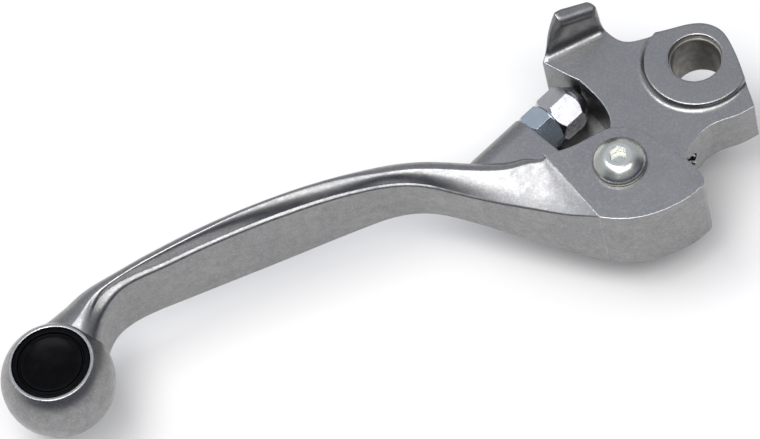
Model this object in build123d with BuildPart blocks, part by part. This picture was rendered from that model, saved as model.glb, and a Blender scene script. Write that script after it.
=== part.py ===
"""Motorcycle clutch lever: a cast blade hinged on a pivot link, with a reach adjuster and a return spring.

Frame: the origin is on the main pivot bore's axis, half way through the link. +Z runs along the bore,
+X runs from the ball end to the bore, and -Y is the side that the fingers pull from. Millimetres.
"""

from build123d import *
from math import cos, radians, sin, sqrt
import numpy
import os

os.makedirs("parts", exist_ok=True)

# ---------------------------------------------------------------- driving dimensions
# Pivot link
link_half = 5.0            # the plate is 10 thick
pad_half = 6.2             # boss faces round the main bore
pad_radius = 9.8
pad_centre = (0.3, -0.3)
bore_seat_radius = 5.0     # hole that the bush is pressed into

# Main bore bush
bush_radius = 4.5
bush_half = 5.1
bush_edge = 0.2

# Piston lug on the link
lug_top = 13.2
lug_fall = 1.7             # the top slants down towards the main bore
lug_y = 14.7               # front wall above its hollow foot
lug_back = 17.5
lug_left = (-24.6, -19.4)  # at the plate, at the top
lug_right = (-10.9, -11.6)
lug_corners = (3.0, 1.7)   # roundings of the top's left and right corners
lug_foot = 1.6
lug_rim = 2.0

# Blade hinge
hinge = (-22.0, -14.1)
tongue_radius = 8.0
ear_half = 8.0
slot_half = 5.15
slot_radius = 8.6
screw_radius = 2.5
ear_hole_radius = 2.6
sleeve_inner = 2.55
sleeve_outer = 3.5
sleeve_half = 5.1
head_radius = 5.0
head_height = 2.9
socket_flats = 3.0
socket_depth = 1.6
socket_turn = 12.0
screw_length = 25.0

# Nut and washer under the lower ear
washer_radius = 5.0
washer_thickness = 1.0
nut_flats = 8.0
nut_height = 5.0
nut_turn = 10.0
nut_collar_radius = 3.75
nut_collar_height = 1.6
lock_ring_radius = 3.2
lock_ring_height = 1.2

# Reach adjuster: its axis lies in the lever's mid plane
adjuster_seat = (-32.45, 2.9)
adjuster_angle = 19.0
adjuster_hole_radius = 2.55
adjuster_radius = 2.5
adjuster_depth = 12.0
locknut_height = 4.5
locknut_turn = 17.0
locknut_bevel = 0.6
adjuster_gap = 0.1
adjuster_head_height = 5.5
adjuster_head_turn = 1.0
adjuster_head_bevel = 0.8
nose_radius = 3.5
nose_height = 2.4
boss_radius = 4.45
boss_length = 11.0
boss_web = 6.0
spot_radius = 5.4

# Return spring
spring_mouth = (-10.0, -16.4)
spring_angle = 252.0
spring_coil_radius = 1.2
spring_wire_radius = 0.25
spring_hole_radius = 1.7
spring_hole_depth = 6.0
spring_turns = 7.5
spring_length = 11.1

# Blade
ellipse = 0.552             # handle length of a quarter ellipse
ball_centre = (-129.2, 0.0)
ball_radius = 10.4
ball_face = 6.9
recess_radius = 7.25
recess_depth = 1.8
plug_radius = 7.2
plug_height = 1.7
plug_rings = (6.3, 5.6, 5.1)   # radii where the rim ends, the inner ring starts and its dish starts
plug_groove = 0.45
plug_stem_radius = 2.0
plug_stem_length = 5.0


def polar(centre, radius, angle):
    """Point at a distance and an angle in degrees from a centre in plan."""
    return (centre[0] + radius * cos(radians(angle)), centre[1] + radius * sin(radians(angle)))


def axis_plane(start, angle, distance=0.0):
    """Plane across an axis in the mid plane, its local X pointing along +Z."""
    x, y = polar(start, distance, angle)
    return Plane(origin=(x, y, 0), x_dir=(0, 0, 1), z_dir=(cos(radians(angle)), sin(radians(angle)), 0))


# ---------------------------------------------------------------- pivot link
with BuildSketch() as link_outline:
    tongue_start = polar(hinge, tongue_radius, -58.2)
    tongue_end = polar(hinge, tongue_radius, 112)
    with BuildLine():
        # end of the link, past the main bore
        Spline((-5.5, 8.9), (-2.0, 8.0), (1.6, 7.2), (4.9, 5.6), (6.7, 3.0), (7.0, -0.5),
               tangents=[(1, -0.22), (-0.05, -1)])
        Spline((7.0, -0.5), (6.6, -4.5), (5.9, -8.5), (5.0, -13.8), tangents=[(-0.05, -1), (-0.2, -1)])
        # hollow lower edge of the neck
        Spline((5.0, -13.8), (2.0, -14.0), (-2.8, -13.45), (-8.0, -15.0),
               tangents=[(-1, -0.06), (-0.86, -0.52)])
        Line((-8.0, -15.0), tongue_start)
        # round tongue between the ears of the blade
        ThreePointArc(tongue_start, polar(hinge, tongue_radius, 190), tongue_end)
        # hollow that the adjuster's head works in
        Spline(tongue_end, (-20.4, -5.4), (-18.8, 0.6), (-20.3, 6.9), (-24.5, 13.8),
               tangents=[(1, 0.31), (-0.5, 0.87)])
        # back of the piston lug, then round to the end of the link
        Spline((-24.5, 13.8), (-22.0, 15.9), (-18.0, lug_back), tangents=[(0.85, 0.6), (1, 0.1)])
        Line((-18.0, lug_back), (-13.0, lug_back - 0.3))
        Spline((-13.0, lug_back - 0.3), (-11.3, 13.5), (-9.4, 10.2), (-5.5, 8.9),
               tangents=[(1, -0.6), (1, -0.22)])
    make_face()

# boss round the main bore, with a hollow foot on both faces of the plate
with BuildPart() as pad:
    with BuildSketch(Plane(origin=(*pad_centre, 0), x_dir=(1, 0, 0), z_dir=(0, -1, 0))):
        with BuildLine():
            foot = pad_half - link_half
            hollow = foot * (1 - sqrt(0.5))
            Polyline((pad_radius + foot, link_half), (pad_radius + foot, -link_half))
            ThreePointArc((pad_radius + foot, -link_half), (pad_radius + hollow, -link_half - hollow),
                          (pad_radius, -pad_half))
            Polyline((pad_radius, -pad_half), (0, -pad_half), (0, pad_half), (pad_radius, pad_half))
            ThreePointArc((pad_radius, pad_half), (pad_radius + hollow, link_half + hollow),
                          (pad_radius + foot, link_half))
        make_face()
    revolve(axis=Axis((*pad_centre, 0), (0, 0, 1)))
    with BuildSketch(Plane.XY.offset(-pad_half)):
        add(link_outline.sketch)
    extrude(amount=2 * pad_half, mode=Mode.INTERSECT)

with BuildPart() as lug:
    # front view: slanted sides and rounded top corners
    with BuildSketch(Plane.XZ) as lug_front:
        with BuildLine():
            top_left = (lug_left[1], lug_top)
            top_right = (lug_right[1], lug_top - lug_fall)
            Polyline((lug_left[0], 0), (lug_left[0], link_half), top_left, top_right,
                     (lug_right[0], link_half), (lug_right[0], 0), close=True)
        make_face()
        for corner, rounding in zip((top_left, top_right), lug_corners):
            fillet(lug_front.vertices().sort_by_distance((corner[0], 0, corner[1]))[0], rounding)
    extrude(amount=-30)
    # side view: upright front wall with a hollow foot
    with BuildSketch(Plane.YZ):
        with BuildLine():
            foot = (lug_y - lug_foot, link_half)
            knee = (lug_y, link_half + lug_foot)
            middle = lug_foot * (1 - sqrt(0.5))
            Polyline(knee, (lug_y + 0.2, lug_top), (lug_y + 9, lug_top), (lug_y + 9, 0), (foot[0], 0), foot)
            ThreePointArc(foot, (lug_y - middle, link_half + middle), knee)
        make_face()
    extrude(amount=30, both=True, mode=Mode.INTERSECT)
    # soft rim round the front wall
    front_wall = lug.faces().filter_by(GeomType.PLANE).sort_by_distance((-17.0, lug_y + 0.1, 9.0))[0]
    fillet(front_wall.edges().sort_by(Axis.Z)[1:], lug_rim)
    with BuildSketch():
        add(link_outline.sketch)
    extrude(amount=lug_top, mode=Mode.INTERSECT)

with BuildPart() as pivot_link:
    with BuildSketch(Plane.XY.offset(-link_half)):
        add(link_outline.sketch)
    extrude(amount=2 * link_half)
    add(pad.part)
    add(lug.part)
    # main bore
    Hole(bore_seat_radius)
    # bore of the hinge sleeve
    with Locations((*hinge, 0)):
        Hole(sleeve_outer)
    # blind hole for the return spring
    spring_bottom = axis_plane(spring_mouth, spring_angle, -spring_hole_depth)
    with BuildSketch(spring_bottom):
        Circle(spring_hole_radius)
    extrude(amount=spring_hole_depth + 4, mode=Mode.SUBTRACT)

# ---------------------------------------------------------------- bush and sleeve
with BuildPart() as pivot_bore_bush:
    with BuildSketch(Plane.XY.offset(-bush_half)):
        Circle(bore_seat_radius)
        Circle(bush_radius, mode=Mode.SUBTRACT)
    extrude(amount=2 * bush_half)
    chamfer(pivot_bore_bush.edges().filter_by(GeomType.CIRCLE).group_by(SortBy.RADIUS)[0], bush_edge)

with BuildPart() as hinge_sleeve:
    with BuildSketch(Plane(origin=(*hinge, -sleeve_half))):
        Circle(sleeve_outer)
        Circle(sleeve_inner, mode=Mode.SUBTRACT)
    extrude(amount=2 * sleeve_half)

# ---------------------------------------------------------------- blade
# Stations of the blade from the ball to the ears: x and y of the front, heading of the section from front
# to back in degrees, thickness, half height, radius of the front rounding, share of the thickness that is
# flat on top, and how far the top falls towards the front
stations = [
    (-129.2, -8.0, 90, 18.3, 6.0, 3.0, 0.5, 0.3),
    (-121.5, -1.5, 90, 13.7, 6.6, 3.4, 0.4, 0.7),
    (-117.3, 4.7, 94, 8.3, 7.0, 2.6, 0.2, 0.8),
    (-112.0, 7.9, 95, 5.1, 7.6, 1.3, 0.1, 1.1),
    (-104.5, 8.35, 91, 4.95, 8.15, 0.9, 0.2, 2.1),
    (-96.8, 8.2, 88, 5.1, 8.75, 0.8, 0.25, 2.4),
    (-82.0, 7.1, 83.5, 5.2, 8.75, 0.8, 0.43, 2.0),
    (-67.6, 5.4, 80, 5.4, 7.5, 0.7, 0.42, 1.6),
    (-61.9, 4.4, 76, 5.6, 6.8, 0.65, 0.3, 1.75),
    (-55.6, 1.9, 62, 6.0, 6.2, 0.55, 0.35, 1.9),
    (-50.0, -3.0, 49, 7.4, 5.9, 0.45, 0.5, 2.0),
    (-44.4, -8.8, 54, 9.6, 6.35, 0.4, 0.6, 1.85),
    (-39.8, -13.3, 71, 11.8, 7.1, 0.35, 0.7, 1.8),
    (-34.8, -18.3, 88, 14.2, 7.65, 0.3, 0.82, 1.2),
    (-30.1, -22.5, 100.7, 17.2, 7.97, 0.25, 0.92, 0.02),
]
blade_sections = 26


def even_steps(rows, count):
    """Rows at even steps along the blade, by cubic interpolation between the given ones."""
    rows = numpy.array(rows, dtype=float)
    steps = numpy.hypot(numpy.diff(rows[:, 0]), numpy.diff(rows[:, 1]))
    along = numpy.concatenate([[0.0], numpy.cumsum(steps)])
    slopes = numpy.gradient(rows, along, axis=0)
    result = []
    for place in numpy.linspace(0.0, along[-1], count):
        i = min(int(numpy.searchsorted(along, place, side="right")) - 1, len(rows) - 2)
        span = along[i + 1] - along[i]
        t = (place - along[i]) / span
        rise = rows[i + 1] - rows[i]
        lead = slopes[i] * span - rise
        trail = rise - slopes[i + 1] * span
        result.append(rows[i] + t * rise + t * (1 - t) * ((1 - t) * lead + t * trail))
    return result


def blade_section(x, y, heading, thickness, half_height, rounding, flat, fall):
    """Section across the blade: flat front, small shoulders, a top that rises from them and a crowned back."""
    across = (cos(radians(heading)), sin(radians(heading)), 0)
    length = (across[1], -across[0], 0)
    end = rounding + flat * (thickness - rounding)
    edge = half_height - fall
    run = (end - rounding) / 3
    crown = ellipse * (thickness - end)
    lift = ellipse * half_height
    with BuildSketch(Plane(origin=(x, y, 0), x_dir=across, z_dir=length)) as section:
        with BuildLine():
            Line((0, rounding - half_height), (0, edge - rounding))
            Bezier((0, edge - rounding), (0, edge - 0.5 * rounding), (0.45 * rounding, edge - 0.2 * rounding),
                   (rounding, edge))
            Bezier((rounding, edge), (rounding + run, half_height - (0.27 + 0.4 * flat) * fall),
                   (end - run, half_height - 0.33 * flat * fall), (end, half_height))
            Bezier((end, half_height), (end + crown, half_height), (thickness, lift), (thickness, 0))
            Bezier((thickness, 0), (thickness, -lift), (end + crown, -half_height), (end, -half_height))
            Line((end, -half_height), (rounding, -half_height))
            Bezier((rounding, -half_height), (0.45 * rounding, -half_height),
                   (0, 0.55 * rounding - half_height), (0, rounding - half_height))
        make_face()
    return section.sketch.faces()[0]


ear_front = (-30.116, -22.42)
ear_back = (-33.3, -5.6)
ear_tip = (-10.2, -24.2)
with BuildSketch() as ear_outline:
    with BuildLine():
        Spline(ear_front, (-26.4, -24.9), (-22.1, -26.4), (-16.4, -26.8), (-11.9, -25.9),
               tangents=[(1, -0.85), (1, 0.42)])
        ThreePointArc((-11.9, -25.9), (-10.6, -25.2), ear_tip)
        Spline(ear_tip, (-11.6, -18.6), (-13.9, -13.6), (-16.1, -9.4), (-19.6, -6.9), (-24.0, -6.6),
               tangents=[(0, 1), (-1, -0.08)])
        Spline((-24.0, -6.6), (-28.0, -6.75), ear_back, tangents=[(-1, -0.08), (-1, 0.3)])
        Line(ear_back, ear_front)
    make_face()

boss_end = polar(adjuster_seat, -boss_length, adjuster_angle)
with BuildSketch() as web_outline:
    with BuildLine():
        Polyline(polar(boss_end, 4.0, adjuster_angle - 90), (-38.5, -10.5), (-28.6, -7.5),
                 polar(adjuster_seat, 10.0, adjuster_angle - 90),
                 polar(adjuster_seat, 4.0, adjuster_angle - 90), close=True)
    make_face()

# the lower ear carries on as a floor under the adjuster
with BuildSketch() as floor_outline:
    with BuildLine():
        Spline(ear_back, (-33.6, 0.0), (-30.5, 6.0), (-26.0, 8.2), (-21.0, 8.8), (-17.9, 4.5),
               (-17.6, -8.0), tangents=[(-0.3, 1), (0.1, -1)])
        Polyline((-17.6, -8.0), (-27.0, -9.5), ear_back)
    make_face()

with BuildSketch() as slot_outline:
    with BuildLine():
        top = polar(hinge, slot_radius, 118)
        bottom = polar(hinge, slot_radius, 262)
        ThreePointArc(top, polar(hinge, slot_radius, 190), bottom)
        Spline(bottom, (-17.0, -23.3), (-4.0, -21.0), tangents=[(1, -0.14), (1, 0.3)])
        Polyline((-4.0, -21.0), (-4.0, -2.0), polar(top, 6, 60), top)
    make_face()

with BuildPart() as finger_lever:
    for station in even_steps(stations, blade_sections):
        add(blade_section(*station))
    loft()
    # ball end with its flat face
    with Locations((*ball_centre, 0)):
        Sphere(ball_radius)
    # ears
    with BuildSketch(Plane.XY.offset(-ear_half)):
        add(ear_outline.sketch)
    extrude(amount=2 * ear_half)
    with BuildSketch(Plane.XY.offset(-ear_half)):
        add(floor_outline.sketch)
    extrude(amount=ear_half - slot_half)
    # boss of the reach adjuster: its web runs level into the ears, and its end in the blade is round
    with BuildSketch(axis_plane(adjuster_seat, adjuster_angle)):
        Circle(boss_radius)
        with Locations((0, boss_web / 2)):
            Rectangle(2 * boss_radius, boss_web)
    extrude(amount=-boss_length)
    with Locations((*boss_end, 0)):
        Sphere(boss_radius)
    with BuildSketch(Plane.XY.offset(-boss_radius)):
        add(web_outline.sketch)
    extrude(amount=2 * boss_radius)
    # slot for the link's tongue
    with BuildSketch(Plane.XY.offset(-slot_half)):
        add(slot_outline.sketch)
    extrude(amount=2 * slot_half, mode=Mode.SUBTRACT)
    # hinge screw's holes
    with Locations((*hinge, 0)):
        Hole(ear_hole_radius)
    # spot face for the locknut
    with BuildSketch(axis_plane(adjuster_seat, adjuster_angle)):
        Circle(spot_radius)
    extrude(amount=spot_radius, mode=Mode.SUBTRACT)
    # adjuster's threaded hole
    with BuildSketch(axis_plane(adjuster_seat, adjuster_angle, 1)):
        Circle(adjuster_hole_radius)
    extrude(amount=-adjuster_depth - 1.5, mode=Mode.SUBTRACT)
    # flat face, plug recess and stem hole in the ball
    with BuildSketch(Plane(origin=(*ball_centre, ball_face))):
        Circle(ball_radius)
    extrude(amount=ball_radius, mode=Mode.SUBTRACT)
    with BuildSketch(Plane(origin=(*ball_centre, ball_face))):
        Circle(recess_radius)
    extrude(amount=-recess_depth, mode=Mode.SUBTRACT)
    with BuildSketch(Plane(origin=(*ball_centre, ball_face - recess_depth))):
        Circle(plug_stem_radius)
    extrude(amount=-plug_stem_length, mode=Mode.SUBTRACT)


# ---------------------------------------------------------------- hinge screw, washer and nut
with BuildPart() as hinge_screw:
    with BuildSketch(Plane(origin=(*hinge, 0), x_dir=(1, 0, 0), z_dir=(0, -1, 0))):
        with BuildLine():
            rim = 0.45
            Polyline((0, ear_half - screw_length), (screw_radius - 0.5, ear_half - screw_length),
                     (screw_radius, ear_half - screw_length + 0.5), (screw_radius, ear_half),
                     (head_radius - 0.15, ear_half), (head_radius, ear_half + 0.15),
                     (head_radius, ear_half + rim))
            Spline((head_radius, ear_half + rim), (4.0, ear_half + 1.95), (2.4, ear_half + head_height),
                   tangents=[(-0.12, 1), (-1, 0.2)])
            Polyline((2.4, ear_half + head_height), (0, ear_half + head_height), (0, ear_half - screw_length))
        make_face()
    revolve(axis=Axis((*hinge, 0), (0, 0, 1)))
    with BuildSketch(Plane(origin=(*hinge, ear_half + head_height))):
        RegularPolygon(socket_flats / 2, 6, major_radius=False, rotation=socket_turn)
    extrude(amount=-socket_depth, mode=Mode.SUBTRACT)

with BuildPart() as hinge_washer:
    with BuildSketch(Plane(origin=(*hinge, -ear_half - washer_thickness))):
        Circle(washer_radius)
        Circle(ear_hole_radius, mode=Mode.SUBTRACT)
    extrude(amount=washer_thickness)
    chamfer(hinge_washer.edges().filter_by(GeomType.CIRCLE).group_by(SortBy.RADIUS)[-1], 0.15)

nut_seat = -ear_half - washer_thickness
collar_seat = nut_seat - nut_height + nut_collar_height
with BuildPart() as hinge_nut:
    with BuildSketch(Plane(origin=(*hinge, collar_seat))):
        RegularPolygon(nut_flats / 2, 6, major_radius=False, rotation=nut_turn)
    extrude(amount=nut_height - nut_collar_height)
    # corners turned off at the seat and at the collar
    with BuildSketch(Plane(origin=(*hinge, 0), x_dir=(1, 0, 0), z_dir=(0, -1, 0))):
        with BuildLine():
            corner = nut_flats / sqrt(3)
            Polyline((0, nut_seat), (nut_flats / 2 - 0.1, nut_seat), (corner, nut_seat - 0.4),
                     (corner, collar_seat + 0.4), (nut_flats / 2 - 0.1, collar_seat), (0, collar_seat),
                     close=True)
        make_face()
    revolve(axis=Axis((*hinge, 0), (0, 0, 1)), mode=Mode.INTERSECT)
    with BuildSketch(Plane(origin=(*hinge, collar_seat - nut_collar_height))):
        Circle(nut_collar_radius)
    extrude(amount=nut_collar_height)
    with BuildSketch(Plane(origin=(*hinge, nut_seat))):
        Circle(ear_hole_radius)
    extrude(amount=-nut_height, mode=Mode.SUBTRACT)
    # groove that holds the nylon ring
    with BuildSketch(Plane(origin=(*hinge, collar_seat - nut_collar_height + 0.2))):
        Circle(lock_ring_radius)
    extrude(amount=lock_ring_height, mode=Mode.SUBTRACT)

with BuildPart() as nut_lock_ring:
    with BuildSketch(Plane(origin=(*hinge, collar_seat - nut_collar_height + 0.2))):
        Circle(lock_ring_radius)
        Circle(screw_radius, mode=Mode.SUBTRACT)
    extrude(amount=lock_ring_height)

# ---------------------------------------------------------------- reach adjuster
def turned_hexagon(plane, flats, height, turn, bevel):
    """Hexagonal prism on a plane, its corners turned off at both ends."""
    corner = flats / sqrt(3)
    with BuildPart() as prism:
        with BuildSketch(plane):
            RegularPolygon(flats / 2, 6, major_radius=False, rotation=turn)
        extrude(amount=height)
        with BuildSketch(Plane(origin=plane.origin, x_dir=plane.x_dir, z_dir=-plane.y_dir)):
            with BuildLine():
                Polyline((0, 0), (flats / 2 - 0.05, 0), (corner, bevel), (corner, height - bevel),
                         (flats / 2 - 0.05, height), (0, height), close=True)
            make_face()
        revolve(axis=Axis(plane.origin, plane.z_dir), mode=Mode.INTERSECT)
    return prism.part


head_seat = axis_plane(adjuster_seat, adjuster_angle, locknut_height + adjuster_gap)
nose_base = axis_plane(adjuster_seat, adjuster_angle, locknut_height + adjuster_gap + adjuster_head_height)
with BuildPart() as adjuster_screw:
    add(turned_hexagon(head_seat, nut_flats, adjuster_head_height, adjuster_head_turn, adjuster_head_bevel))
    # domed nose that bears on the link
    with BuildSketch(Plane(origin=nose_base.origin, x_dir=nose_base.x_dir, z_dir=-nose_base.y_dir)):
        with BuildLine():
            Line((0, -1), (nose_radius, -1))
            Line((nose_radius, -1), (nose_radius, 0))
            Spline((nose_radius, 0), (nose_radius * 0.72, nose_height * 0.68), (0, nose_height),
                   tangents=[(-0.1, 1), (-1, 0)])
            Line((0, nose_height), (0, -1))
        make_face()
    revolve(axis=Axis(nose_base.origin, nose_base.z_dir))
    with BuildSketch(head_seat):
        Circle(adjuster_radius)
    extrude(amount=-(locknut_height + adjuster_gap + adjuster_depth))

locknut_seat = axis_plane(adjuster_seat, adjuster_angle)
with BuildPart() as adjuster_locknut:
    add(turned_hexagon(locknut_seat, nut_flats, locknut_height, locknut_turn, locknut_bevel))
    with BuildSketch(locknut_seat):
        Circle(adjuster_hole_radius)
    extrude(amount=locknut_height, mode=Mode.SUBTRACT)

# ---------------------------------------------------------------- return spring
spring_plane = axis_plane(spring_mouth, spring_angle, -spring_hole_depth + spring_wire_radius + 0.05)
with BuildPart() as return_spring:
    with BuildLine() as spring_line:
        Helix(spring_length / spring_turns, spring_length, spring_coil_radius,
              center=spring_plane.origin, direction=spring_plane.z_dir)
    with BuildSketch(Plane(origin=spring_line.line @ 0, z_dir=spring_line.line % 0)):
        Circle(spring_wire_radius)
    sweep()

# ---------------------------------------------------------------- plug in the ball end
with BuildPart() as ball_plug:
    recess_floor = (*ball_centre, ball_face - recess_depth)
    with BuildSketch(Plane(origin=recess_floor, x_dir=(1, 0, 0), z_dir=(0, -1, 0))):
        with BuildLine():
            stem_end = 0.3 - plug_stem_length
            rim, groove, dish = plug_rings
            Polyline((0, stem_end), (plug_stem_radius, stem_end), (plug_stem_radius, 0), (plug_radius, 0),
                     (plug_radius, plug_height - 0.3), (plug_radius - 0.3, plug_height), (rim, plug_height),
                     (rim - 0.3, plug_height - plug_groove), (groove + 0.3, plug_height - plug_groove),
                     (groove, plug_height - 0.1), (dish, plug_height - 0.1))
            Spline((dish, plug_height - 0.1), (0.55 * dish, plug_height - 0.42), (0, plug_height - 0.5),
                   tangents=[(-1, -0.35), (-1, 0)])
            Line((0, plug_height - 0.5), (0, stem_end))
        make_face()
    revolve(axis=Axis((*ball_centre, 0), (0, 0, 1)))

pieces = {
    "finger_lever": finger_lever,
    "pivot_link": pivot_link,
    "pivot_bore_bush": pivot_bore_bush,
    "hinge_sleeve": hinge_sleeve,
    "hinge_screw": hinge_screw,
    "hinge_washer": hinge_washer,
    "hinge_nut": hinge_nut,
    "nut_lock_ring": nut_lock_ring,
    "adjuster_screw": adjuster_screw,
    "adjuster_locknut": adjuster_locknut,
    "return_spring": return_spring,
    "ball_plug": ball_plug,
}
for name, piece in pieces.items():
    piece.part.label = name
    export_step(piece.part, f"parts/{name}.step")
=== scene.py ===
"""Studio scene for the motorcycle clutch lever: finishes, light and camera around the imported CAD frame."""

import bpy
from mathutils import Matrix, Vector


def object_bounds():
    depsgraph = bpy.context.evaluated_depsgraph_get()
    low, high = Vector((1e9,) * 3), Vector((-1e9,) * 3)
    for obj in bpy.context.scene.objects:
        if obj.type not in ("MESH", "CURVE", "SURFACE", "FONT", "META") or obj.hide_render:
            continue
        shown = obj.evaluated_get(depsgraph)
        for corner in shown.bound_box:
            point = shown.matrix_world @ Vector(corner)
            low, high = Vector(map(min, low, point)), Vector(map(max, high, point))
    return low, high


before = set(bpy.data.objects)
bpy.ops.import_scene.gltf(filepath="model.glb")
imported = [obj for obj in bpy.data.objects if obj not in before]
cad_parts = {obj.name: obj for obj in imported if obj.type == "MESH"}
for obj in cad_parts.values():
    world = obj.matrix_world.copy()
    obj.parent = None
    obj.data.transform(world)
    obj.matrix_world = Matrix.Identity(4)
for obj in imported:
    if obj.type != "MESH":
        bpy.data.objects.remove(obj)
cad_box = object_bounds()
MM = 0.001

# Sockets of the colour Mix node.
MIX_SHARE, MIX_A, MIX_B, MIX_COLOUR = 0, 6, 7, 2

# Cast alloy, as linear reflectance.
ALLOY_COOL = (0.245, 0.245, 0.253)
ALLOY_WARM = (0.28, 0.278, 0.273)
ALLOY_BLOTCH = (0.20, 0.194, 0.187)
ALLOY_GRAIN = (0.38, 0.38, 0.385)
ALLOY_SPECK = (0.13, 0.115, 0.11)
# Edge colour: partly wear, partly a painted highlight laid on convex and concave edges alike.
ALLOY_WORN_AND_HIGHLIT_EDGE = (0.74, 0.74, 0.75)
CAST_EDGE = 0.32 * MM
CAST_SOFT_EDGE = 1.0 * MM
SOFTENING_HEIGHT = 2.0 * MM

FLOOR_HALF = 3.0
FLOOR_GAP = 0.2 * MM
FLOOR_CREAM = (0.80, 0.79, 0.775)
FLOOR_PALE = (0.81, 0.80, 0.785)

# The sky's colour by height: (share of the way from the horizon to the zenith, colour).
FRONT_SKY = [
    (0.0, (0.035, 0.045, 0.075)),
    (0.32, (0.05, 0.06, 0.10)),
    (0.6, (0.30, 0.31, 0.34)),
    (1.0, (0.42, 0.43, 0.46)),
]
BACK_SKY = [
    (0.0, (0.62, 0.62, 0.62)),
    (0.45, (0.60, 0.62, 0.66)),
    (0.75, (0.66, 0.70, 0.82)),
    (1.0, (0.66, 0.69, 0.78)),
]
SKY_BLEND = 0.25

LENS_MM, SENSOR_MM = 236.8, 36.0
CAMERA_PLACE = (-0.1496, -0.4578, 0.7787)
CAMERA_TURN = ((0.8988, 0.4280, -0.0942), (-0.4136, 0.7571, -0.5057), (-0.1451, 0.4935, 0.8575))


# ------------------------------------------------------------------ node helpers
class Graph:
    """A material's node tree with short calls for the nodes that the finishes use."""

    def __init__(self, name):
        self.material = bpy.data.materials.new(name)
        self.material.use_nodes = True
        self.tree = self.material.node_tree
        self.shader = self.tree.nodes["Principled BSDF"]
        self.place = self.tree.nodes.new("ShaderNodeTexCoord").outputs["Object"]

    def node(self, kind, **settings):
        node = self.tree.nodes.new(kind)
        for key, value in settings.items():
            setattr(node, key, value)
        return node

    def feed(self, socket, value):
        if isinstance(value, bpy.types.NodeSocket):
            self.tree.links.new(value, socket)
        elif isinstance(value, tuple) and len(value) == 3 and len(socket.default_value) == 4:
            socket.default_value = (*value, 1.0)
        else:
            socket.default_value = value

    def stretch(self, scale, turn=(0, 0, 0), offset=(0, 0, 0)):
        """The object's own coordinates, scaled, turned and moved."""
        node = self.node("ShaderNodeMapping")
        self.feed(node.inputs["Vector"], self.place)
        node.inputs["Scale"].default_value = scale
        node.inputs["Rotation"].default_value = turn
        node.inputs["Location"].default_value = offset
        return node.outputs["Vector"]

    def noise(self, size, detail=2.0, rough=0.5, vector=None, distortion=0.0):
        """Noise whose features are about size metres wide."""
        node = self.node("ShaderNodeTexNoise")
        self.feed(node.inputs["Vector"], vector or self.place)
        node.inputs["Scale"].default_value = 1.0 / size
        node.inputs["Detail"].default_value = detail
        node.inputs["Roughness"].default_value = rough
        node.inputs["Distortion"].default_value = distortion
        return node.outputs["Fac"]

    def cells(self, size, vector):
        """Distance to the nearest of scattered points about size metres apart."""
        node = self.node("ShaderNodeTexVoronoi", feature="F1")
        self.feed(node.inputs["Vector"], vector)
        node.inputs["Scale"].default_value = 1.0 / size
        return node.outputs["Distance"]

    def span(self, value, low, high, to_low=0.0, to_high=1.0):
        """The value's range low to high, mapped to another range and clamped."""
        node = self.node("ShaderNodeMapRange")
        node.clamp = True
        for key, number in (("From Min", low), ("From Max", high), ("To Min", to_low), ("To Max", to_high)):
            node.inputs[key].default_value = number
        self.feed(node.inputs["Value"], value)
        return node.outputs["Result"]

    def math(self, kind, a, b):
        node = self.node("ShaderNodeMath", operation=kind)
        self.feed(node.inputs[0], a)
        self.feed(node.inputs[1], b)
        return node.outputs[0]

    def mix(self, share, a, b):
        node = self.node("ShaderNodeMix", data_type="RGBA")
        self.feed(node.inputs[MIX_SHARE], share)
        self.feed(node.inputs[MIX_A], a)
        self.feed(node.inputs[MIX_B], b)
        return node.outputs[MIX_COLOUR]

    def rounded(self, radius, samples=6):
        """Shading normal with the mesh's edges rounded off."""
        node = self.node("ShaderNodeBevel")
        node.samples = samples
        self.feed(node.inputs["Radius"], radius)
        return node.outputs["Normal"]

    def bump(self, height, strength, distance, normal):
        node = self.node("ShaderNodeBump")
        self.feed(node.inputs["Height"], height)
        node.inputs["Strength"].default_value = strength
        node.inputs["Distance"].default_value = distance
        self.feed(node.inputs["Normal"], normal)
        return node.outputs["Normal"]

    def edges(self, radius):
        """1 along sharp convex and concave edges, 0 on the faces."""
        rounded = self.rounded(radius)
        flat = self.node("ShaderNodeNewGeometry").outputs["Normal"]
        dot = self.node("ShaderNodeVectorMath", operation="DOT_PRODUCT")
        self.feed(dot.inputs[0], rounded)
        self.feed(dot.inputs[1], flat)
        return self.span(dot.outputs["Value"], 0.985, 0.86)

    def height(self):
        node = self.node("ShaderNodeSeparateXYZ")
        self.feed(node.inputs[0], self.place)
        return node.outputs["Z"]


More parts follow.
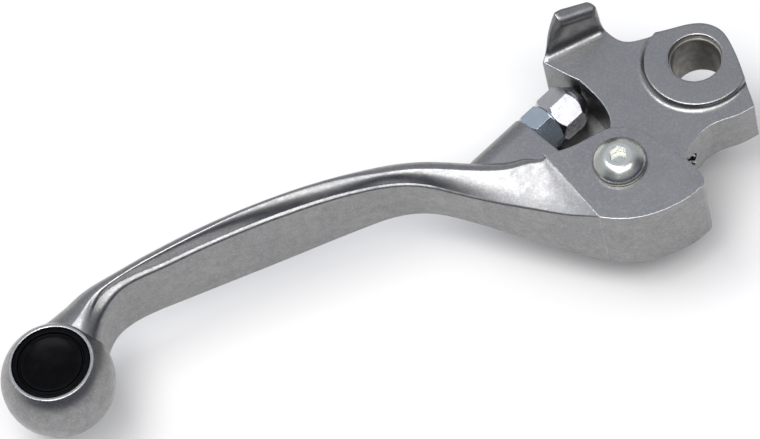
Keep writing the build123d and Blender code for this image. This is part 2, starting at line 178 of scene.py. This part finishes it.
def cast_alloy(name, seed, soft_from=None):
    """Tumbled cast aluminium: satin grey with fine mottling, specks, and edges lightened as wear plus a
    painted highlight.

    Edges above the height soft_from are rounded more widely, for the raised boss and the lug.
    """
    g = Graph(name)
    shift = (seed * 0.137, seed * 0.071, seed * 0.033)
    place = g.stretch((1, 1, 1), offset=shift)
    broad = g.noise(9 * MM, 3, 0.55, place)
    blotch = g.noise(1.7 * MM, 4, 0.6, place, 0.6)
    grain = g.noise(0.42 * MM, 3, 0.65, place)
    fine = g.noise(0.16 * MM, 2, 0.6, place)
    colour = g.mix(g.span(broad, 0.35, 0.65), ALLOY_COOL, ALLOY_WARM)
    colour = g.mix(g.span(blotch, 0.36, 0.66, 0.0, 0.6), colour, ALLOY_BLOTCH)
    colour = g.mix(g.span(grain, 0.48, 0.72, 0.0, 0.55), colour, ALLOY_GRAIN)
    specks = g.span(g.cells(1.15 * MM, place), 0.085, 0.02, 0.0, 0.55)
    colour = g.mix(g.math("MULTIPLY", specks, g.span(blotch, 0.5, 0.6)), colour, ALLOY_SPECK)
    edge = g.edges(0.28 * MM)
    # Painted highlight and wear: every sharp edge, convex or concave, is lightened towards the bright edge
    # colour.
    colour = g.mix(g.math("MULTIPLY", edge, g.span(grain, 0.3, 0.6, 0.45, 0.95)), colour, ALLOY_WORN_AND_HIGHLIT_EDGE)
    g.feed(g.shader.inputs["Base Color"], colour)
    g.shader.inputs["Metallic"].default_value = 1.0
    rough = g.span(blotch, 0.3, 0.7, 0.27, 0.38)
    g.feed(g.shader.inputs["Roughness"], g.math("SUBTRACT", rough, g.math("MULTIPLY", edge, 0.10)))
    radius = CAST_EDGE
    if soft_from is not None:
        radius = g.span(g.height(), soft_from, soft_from + SOFTENING_HEIGHT, CAST_EDGE, CAST_SOFT_EDGE)
    normal = g.rounded(radius, 8)
    normal = g.bump(broad, 0.25, 0.10 * MM, normal)
    normal = g.bump(grain, 0.5, 0.022 * MM, normal)
    normal = g.bump(fine, 0.45, 0.010 * MM, normal)
    g.feed(g.shader.inputs["Normal"], normal)
    return g.material


def plated(name, base, tint, rough, seed, edge_wear_and_highlight_colour=None, bevel=0.14):
    """Plated or bare metal: a bright skin with faint clouding, specks, and edges lightened as wear plus a
    painted highlight; bevel is in mm.
    """
    g = Graph(name)
    place = g.stretch((1, 1, 1), offset=(seed * 0.11, seed * 0.05, seed * 0.02))
    cloud = g.noise(1.4 * MM, 3, 0.55, place, 0.4)
    fine = g.noise(0.14 * MM, 3, 0.6, place)
    colour = g.mix(g.span(cloud, 0.35, 0.68), base, tint)
    specks = g.span(g.cells(0.7 * MM, place), 0.09, 0.02, 0.0, 0.5)
    speck_colour = tuple(c * 0.35 for c in base)
    colour = g.mix(g.math("MULTIPLY", specks, g.span(cloud, 0.48, 0.6)), colour, speck_colour)
    # Painted highlight and wear: the edge colour lightens every sharp edge, convex or concave.
    if edge_wear_and_highlight_colour is not None:
        colour = g.mix(g.math("MULTIPLY", g.edges(0.12 * MM), 0.8), colour, edge_wear_and_highlight_colour)
    g.feed(g.shader.inputs["Base Color"], colour)
    g.shader.inputs["Metallic"].default_value = 1.0
    g.feed(g.shader.inputs["Roughness"], g.span(cloud, 0.3, 0.7, *rough))
    normal = g.rounded(bevel * MM, 6)
    normal = g.bump(fine, 0.22, 0.006 * MM, normal)
    g.feed(g.shader.inputs["Normal"], normal)
    return g.material


def plastic(name, base, light, rough, seed, specular=0.5):
    """Moulded plastic with a faint orange-peel skin and hairline scuffs."""
    g = Graph(name)
    place = g.stretch((1, 1, 1), offset=(seed * 0.11, seed * 0.05, 0))
    cloud = g.noise(2.2 * MM, 3, 0.5, place)
    peel = g.noise(0.5 * MM, 2, 0.5, place)
    scuff = g.noise(0.25 * MM, 3, 0.6, g.stretch((1, 7, 1), (0, 0, 0.7), (seed, 0, 0)))
    colour = g.mix(g.span(cloud, 0.4, 0.7, 0.0, 0.6), base, light)
    # Painted highlight and wear: sharp edges, convex or concave, are lightened.
    worn_and_highlit_edge = tuple(min(1, c * 2.2 + 0.03) for c in light)
    colour = g.mix(g.math("MULTIPLY", g.edges(0.15 * MM), 0.35), colour, worn_and_highlit_edge)
    g.feed(g.shader.inputs["Base Color"], colour)
    g.shader.inputs["Metallic"].default_value = 0.0
    g.shader.inputs["Specular IOR Level"].default_value = specular
    rough_value = g.math("ADD", g.span(cloud, 0.3, 0.7, *rough), g.span(scuff, 0.62, 0.75, 0.0, 0.12))
    g.feed(g.shader.inputs["Roughness"], rough_value)
    normal = g.rounded(0.16 * MM, 6)
    normal = g.bump(peel, 0.2, 0.012 * MM, normal)
    g.feed(g.shader.inputs["Normal"], normal)
    return g.material


# The edge colours given below are partly wear, partly a painted highlight.
finishes = {
    "finger_lever": cast_alloy("lever_alloy", 1.0),
    "pivot_link": cast_alloy("link_alloy", 4.0, soft_from=5.6 * MM),
    "pivot_bore_bush": plated("bearing_strip", (0.30, 0.285, 0.25), (0.22, 0.21, 0.19), (0.34, 0.5), seed=2,
                              edge_wear_and_highlight_colour=(0.55, 0.54, 0.5)),
    "hinge_sleeve": plated("sleeve_steel", (0.45, 0.45, 0.44), (0.36, 0.36, 0.35), (0.3, 0.4), seed=3),
    "hinge_screw": plated("bright_zinc", (0.60, 0.61, 0.57), (0.52, 0.53, 0.49), (0.2, 0.3), seed=5,
                          edge_wear_and_highlight_colour=(0.9, 0.9, 0.88), bevel=0.2),
    "hinge_washer": plated("washer_zinc", (0.62, 0.63, 0.64), (0.52, 0.53, 0.55), (0.22, 0.34), seed=6,
                           edge_wear_and_highlight_colour=(0.8, 0.8, 0.8)),
    "hinge_nut": plated("nut_zinc", (0.60, 0.63, 0.68), (0.50, 0.53, 0.58), (0.2, 0.3), seed=7,
                        edge_wear_and_highlight_colour=(0.82, 0.83, 0.85)),
    "nut_lock_ring": plastic("nylon", (0.10, 0.14, 0.42), (0.14, 0.19, 0.50), (0.4, 0.5), seed=8),
    "adjuster_screw": plated("nickel", (0.52, 0.52, 0.55), (0.45, 0.45, 0.47), (0.2, 0.3), seed=9,
                             edge_wear_and_highlight_colour=(0.9, 0.88, 0.86), bevel=0.22),
    "adjuster_locknut": plated("blue_zinc", (0.50, 0.56, 0.60), (0.42, 0.49, 0.55), (0.2, 0.3), seed=11,
                               edge_wear_and_highlight_colour=(0.85, 0.88, 0.92), bevel=0.2),
    "return_spring": plated("spring_wire", (0.42, 0.42, 0.42), (0.33, 0.33, 0.34), (0.25, 0.35), seed=12),
    "ball_plug": plastic("black_plastic", (0.0015, 0.0015, 0.0018), (0.003, 0.003, 0.0035), (0.2, 0.3),
                         seed=13, specular=0.04),
}
for node_name, material in finishes.items():
    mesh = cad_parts[node_name].data
    mesh.materials.clear()
    mesh.materials.append(material)

# ------------------------------------------------------------------ floor
floor_height = cad_box[0].z - FLOOR_GAP
corners = ((-1, -1), (1, -1), (1, 1), (-1, 1))
mesh = bpy.data.meshes.new("floor")
mesh.from_pydata([(x * FLOOR_HALF, y * FLOOR_HALF, floor_height) for x, y in corners], [], [(0, 1, 2, 3)])
floor = bpy.data.objects.new("floor", mesh)
bpy.context.scene.collection.objects.link(floor)
g = Graph("pale_floor")
g.feed(g.shader.inputs["Base Color"], g.mix(g.noise(0.2, 2), FLOOR_CREAM, FLOOR_PALE))
g.shader.inputs["Roughness"].default_value = 0.9
g.shader.inputs["Specular IOR Level"].default_value = 0.1
mesh.materials.append(g.material)

# ------------------------------------------------------------------ light
world = bpy.data.worlds.new("studio")
bpy.context.scene.world = world
world.use_nodes = True
tree = world.node_tree
direction = tree.nodes.new("ShaderNodeTexCoord").outputs["Generated"]
split = tree.nodes.new("ShaderNodeSeparateXYZ")
tree.links.new(direction, split.inputs[0])


def sky(stops):
    """Colour by height, from the horizon up."""
    ramp = tree.nodes.new("ShaderNodeValToRGB")
    tree.links.new(split.outputs["Z"], ramp.inputs[0])
    marks = ramp.color_ramp.elements
    for mark, (position, colour) in zip((marks[0], marks[1]), (stops[0], stops[-1])):
        mark.position = position
        mark.color = (*colour, 1)
    for position, colour in stops[1:-1]:
        marks.new(position).color = (*colour, 1)
    return ramp.outputs["Color"]


front = sky(FRONT_SKY)
back = sky(BACK_SKY)
side = tree.nodes.new("ShaderNodeMapRange")
side.interpolation_type = "SMOOTHSTEP"
side.inputs["From Min"].default_value = -SKY_BLEND
side.inputs["From Max"].default_value = SKY_BLEND
tree.links.new(split.outputs["Y"], side.inputs["Value"])
blend = tree.nodes.new("ShaderNodeMix")
blend.data_type = "RGBA"
tree.links.new(side.outputs["Result"], blend.inputs[MIX_SHARE])
tree.links.new(front, blend.inputs[MIX_A])
tree.links.new(back, blend.inputs[MIX_B])
tree.links.new(blend.outputs[MIX_COLOUR], tree.nodes["Background"].inputs["Color"])
tree.nodes["Background"].inputs["Strength"].default_value = 1.0


def softbox(name, place, size, power):
    """Rectangular lamp that faces straight down."""
    light = bpy.data.lights.new(name, "AREA")
    light.shape = "RECTANGLE"
    light.size, light.size_y = size
    light.energy = power
    lamp = bpy.data.objects.new(name, light)
    bpy.context.scene.collection.objects.link(lamp)
    lamp.location = place


softbox("key", (-0.255, 0.04, 0.78), (0.39, 0.58), 4.3)
softbox("front_key", (-0.02, -0.44, 0.78), (0.90, 0.38), 4.3)

# ------------------------------------------------------------------ camera
camera = bpy.data.cameras.new("camera")
camera.sensor_width = SENSOR_MM
camera.lens = LENS_MM
camera.clip_start, camera.clip_end = 0.05, 20.0
viewer = bpy.data.objects.new("camera", camera)
bpy.context.scene.collection.objects.link(viewer)
viewer.matrix_world = Matrix.Translation(CAMERA_PLACE) @ Matrix(CAMERA_TURN).to_4x4()
bpy.context.scene.camera = viewer
bpy.context.scene.view_settings.view_transform = "Standard"
